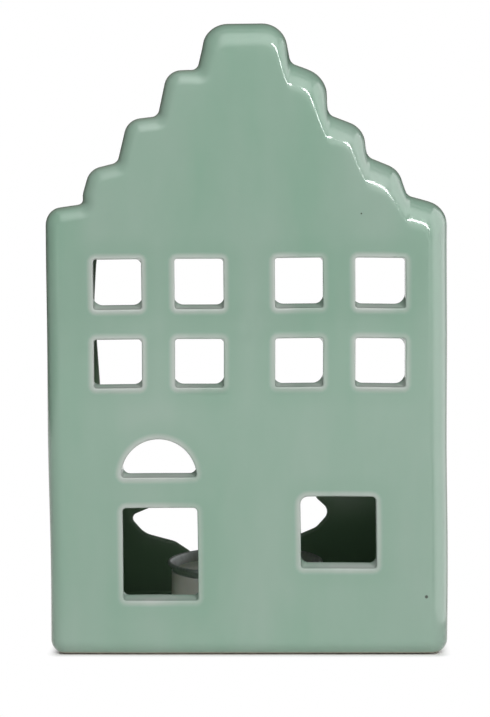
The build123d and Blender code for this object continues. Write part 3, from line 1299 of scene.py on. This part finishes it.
@dataclass(frozen=True)
class Studio:
    """Camera, lamps, backdrop and table of the picture."""

    camera_place: Triple = (13.0, -510.0, 107.0)
    yaw_left: float = 1.601
    pitch_down: float = 4.264
    roll: float = 0.319
    focal_pixels: float = 2045.0
    long_side_pixels: float = 717.0
    sensor: float = 36.0
    even_light: float = 0.02
    table_colour: str = "#F7F7F5"
    table_reach: float = 4000.0
    # The table fades to white from this far inside the house's foot, over this stretch
    table_inset: float = 3.0
    table_fade: float = 4.0

    def camera(self) -> None:
        """Adds the camera at the photograph's place and angle."""
        data = bpy.data.cameras.new("camera")
        data.sensor_width = self.sensor
        data.lens = self.focal_pixels * self.sensor / self.long_side_pixels
        data.clip_start, data.clip_end = 0.01, 20.0
        camera = new_object("camera", data)
        turn = Matrix.Rotation(math.radians(self.yaw_left), 4, "Z")
        tilt = Matrix.Rotation(math.radians(90 - self.pitch_down), 4, "X")
        roll = Matrix.Rotation(math.radians(-self.roll), 4, "Z")
        move = Matrix.Translation(Vector(self.camera_place) * MM)
        camera.matrix_world = move @ turn @ tilt @ roll
        bpy.context.scene.camera = camera

    def world(self) -> None:
        """Lights the scene evenly, and shows white to the camera, to gloss and to glass."""
        world = bpy.data.worlds.new("studio")
        tree = NodeTree(world)
        strength = tree.ramp(tree.seen(), 0.0, 1.0, self.even_light)
        light = tree.add("Background", {"Color": WHITE, "Strength": strength})
        tree.add("OutputWorld", {"Surface": light.outputs[0]})
        bpy.context.scene.world = world

    def floor(self) -> None:
        """Adds a pale table top that fades to white away from the house."""
        reach = self.table_reach
        square = np.array([(-reach, -reach, 0), (reach, -reach, 0), (reach, reach, 0), (-reach, reach, 0)])
        mesh = new_mesh("table_top", square, [(0, 1, 2, 3)], {})
        tree = NodeTree(bpy.data.materials.new("matt_white_table"))
        foot = ((HALF_WIDTH - self.table_inset) * MM, (HALF_DEPTH - self.table_inset) * MM, 0.0)
        past = tree.add("VectorMath", {0: tree.place_at()}, operation="ABSOLUTE").outputs["Vector"]
        for operation, other in (("SUBTRACT", foot), ("MAXIMUM", (0.0, 0.0, 0.0))):
            past = tree.add("VectorMath", {0: past, 1: other}, operation=operation).outputs["Vector"]
        away = tree.add("VectorMath", {0: past}, operation="LENGTH").outputs["Value"]
        fade = tree.ramp(away, 0.0, self.table_fade * MM, kind=SMOOTH)
        mesh.materials.append(tree.surface("MixShader", {
            0: tree.math("MULTIPLY", fade, tree.seen()),
            1: tree.add("BsdfDiffuse", {"Color": self.table_colour}).outputs[0],
            2: tree.add("Emission", {"Color": WHITE}).outputs[0]}))
        table = new_object("table_top", mesh)

    def lamp(self, name: str, at: Triple, to: Triple, size: Pair, radiance: float) -> None:
        """Adds a soft rectangular lamp that no reflection shows, because the cards do that.

        Its power is pi times its area times its radiance.

        Args:
            name: name of the lamp.
            at: its middle in mm.
            to: the point in mm that it faces.
            size: width and height in mm.
            radiance: how bright its surface is, where white paper in full light is 1.
        """
        data = bpy.data.lights.new(name, "AREA")
        data.shape = "RECTANGLE"
        data.size, data.size_y = size[0] * MM, size[1] * MM
        data.energy = math.pi * data.size * data.size_y * radiance
        lamp = new_object(name, data)
        lamp.location = Vector(at) * MM
        lamp.rotation_euler = (Vector(to) - Vector(at)).to_track_quat("-Z", "Y").to_euler()
        lamp.visible_glossy = False

    def card(self, name: str, corners: list[Triple], radiance: float,
             fades: Four = (0.0, 0.0, 0.0, 0.0)) -> None:
        """Adds a card that only reflections show, as stands beside a glaze to shape its gloss.

        A point is the blend of the four corners, and the light dims towards each side that
        fades, as a smooth ramp over that share of the card.

        Args:
            name: name of the card.
            corners: its four corners in mm, lower left, lower right, upper right, upper left.
            radiance: how bright it looks, where white paper in full light is 1.
            fades: share of the card that is dimmed at its left, right, lower and upper side.
        """
        count = 24
        u, v = np.meshgrid(np.linspace(0, 1, count), np.linspace(0, 1, count))
        low_left, low_right, high_right, high_left = np.array(corners, float)
        lower = between(low_left, low_right, u[..., None])
        upper = between(high_left, high_right, u[..., None])
        points = between(lower, upper, v[..., None]).reshape(-1, 3)
        glow = np.ones_like(u)
        for share, fade in zip((u, 1 - u, v, 1 - v), fades):
            if fade > 0:
                glow = glow * smooth_ramp(0.0, fade, share)
        index = np.arange(count * count).reshape(count, count)
        quads = np.stack([index[:-1, :-1], index[:-1, 1:], index[1:, 1:], index[1:, :-1]], -1)
        mesh = new_mesh(name, points, quads.reshape(-1, 4).tolist(), {"glow": (glow * radiance).ravel()})
        tree = NodeTree(bpy.data.materials.new(f"{name}_board"))
        mesh.materials.append(tree.surface("Emission", {"Strength": tree.attribute("glow")}))
        card = new_object(name, mesh)
        card.visible_camera = False
        card.visible_diffuse = False
        card.visible_shadow = False
        card.visible_transmission = False

    def build(self) -> None:
        """Sets up the whole picture."""
        bpy.context.scene.view_settings.view_transform = "Standard"
        self.camera()
        self.world()
        self.floor()
        self.lamp("front_softbox", (40, -820, 800), (0, 0, 80), (800, 600), 4.7)
        self.lamp("small_lamp", (520, -980, 640), (0, 0, 90), (190, 190), 36.0)
        self.lamp("back_fill", (-80, 600, 260), (-5, 0, 15), (500, 300), 2.5)
        self.card("small_card", [(132, -500, 420), (324, -500, 246), (378, -500, 306),
                                 (186, -500, 480)], 30.0)
        self.card("overhead_card", [(-360, -900, 170), (460, -900, 170), (460, -60, 760),
                                    (-360, -60, 760)], 2.7, (0.35, 0.0, 0.5, 0.25))
        self.card("right_card", [(80, -100, 0), (80, 16, 0), (130, 79, 234), (130, -203, 234)],
                  2.7, (0.45, 0.2, 0.0, 0.0))
        self.card("left_flag", [(-520, -900, 1), (-520, 4000, 1), (-520, 4000, 900),
                                (-520, -900, 900)], 0.012)
        self.card("camera_flag", [(-520, -1200, 1), (300, -1200, 1), (300, -1200, 520),
                                  (-520, -1200, 520)], 0.05)
        self.card("back_flag", [(-520, 60, 900), (620, 60, 900), (620, 900, 200), (-520, 900, 200)],
                  0.03)


def main() -> None:
    """Builds the pieces and the studio."""
    logging.basicConfig(level=logging.INFO, format="%(message)s")
    GlazedHouse().dress()
    Tealight().dress()
    Studio().build()


if __name__ == "__main__":
    main()
